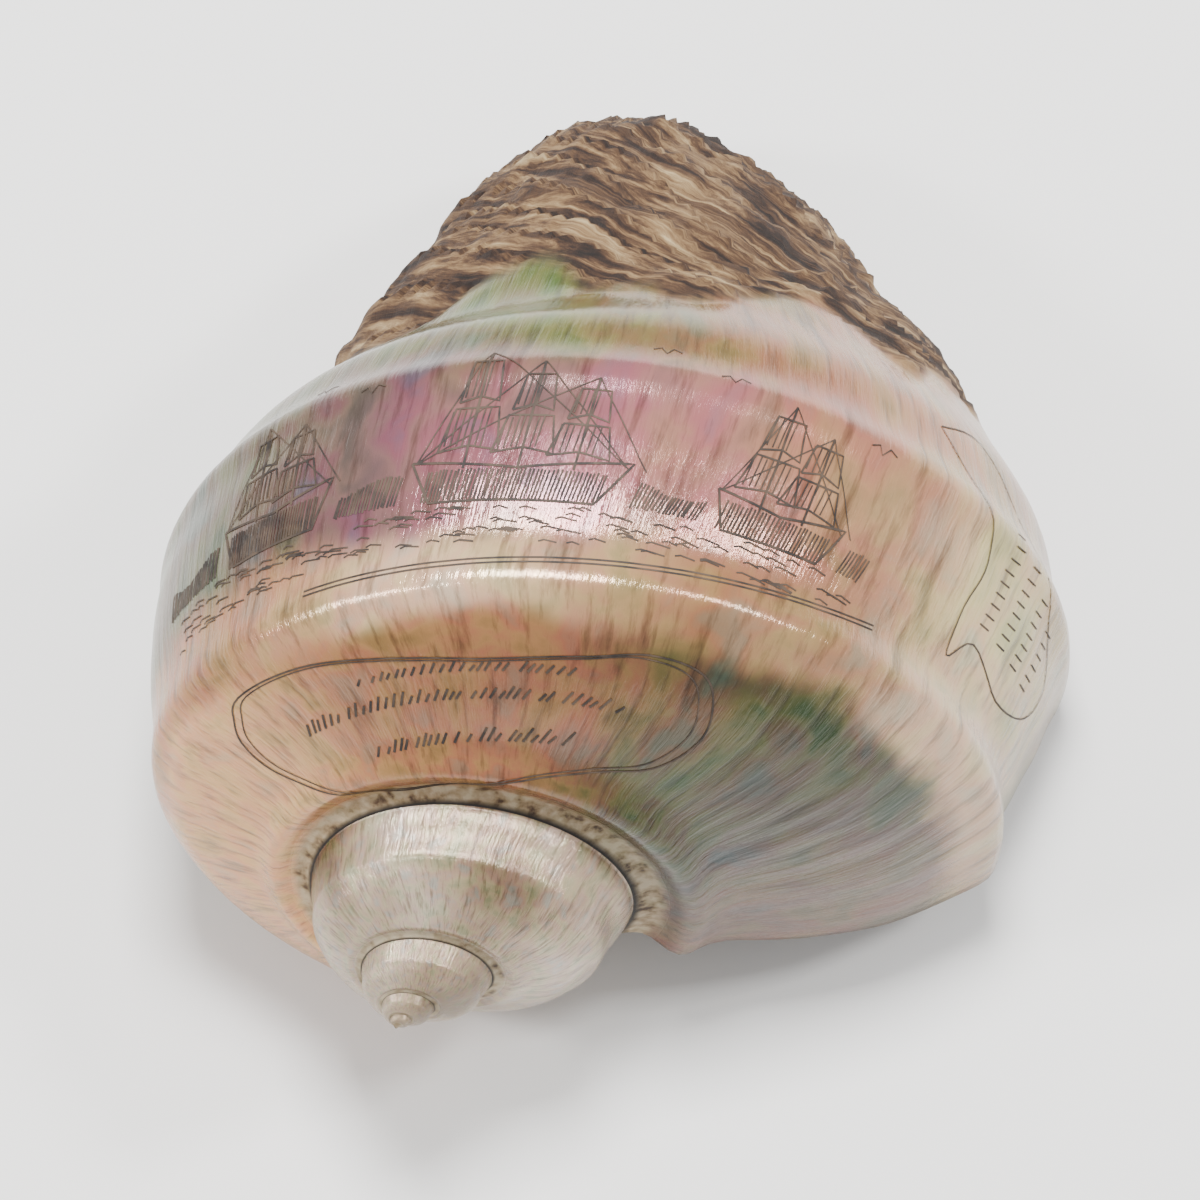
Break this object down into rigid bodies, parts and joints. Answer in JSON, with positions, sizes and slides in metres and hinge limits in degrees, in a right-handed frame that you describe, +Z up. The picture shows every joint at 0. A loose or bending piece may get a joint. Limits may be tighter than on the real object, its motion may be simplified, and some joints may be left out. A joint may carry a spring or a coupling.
{
  "type": "engraved turban shell",
  "caption": "Large polished sea snail shell lying on its mouth, hollow inside, with a scene, a panel and a ribbon engraved on its nacre.",
  "frame": {"origin": "centre of the bounding box at the level of the table the shell lies on", "axes": "+Z up from the table, +Y from the tip of the spire towards the rough base, +X towards the outer lip"},
  "size_m": [0.1448, 0.1672, 0.0974],
  "materials": {
    "nacre": "polished mother-of-pearl, rough brown base"
  },
  "bodies": {
    "root": {"turban_shell": "nacre"}
  },
  "joints": []
}
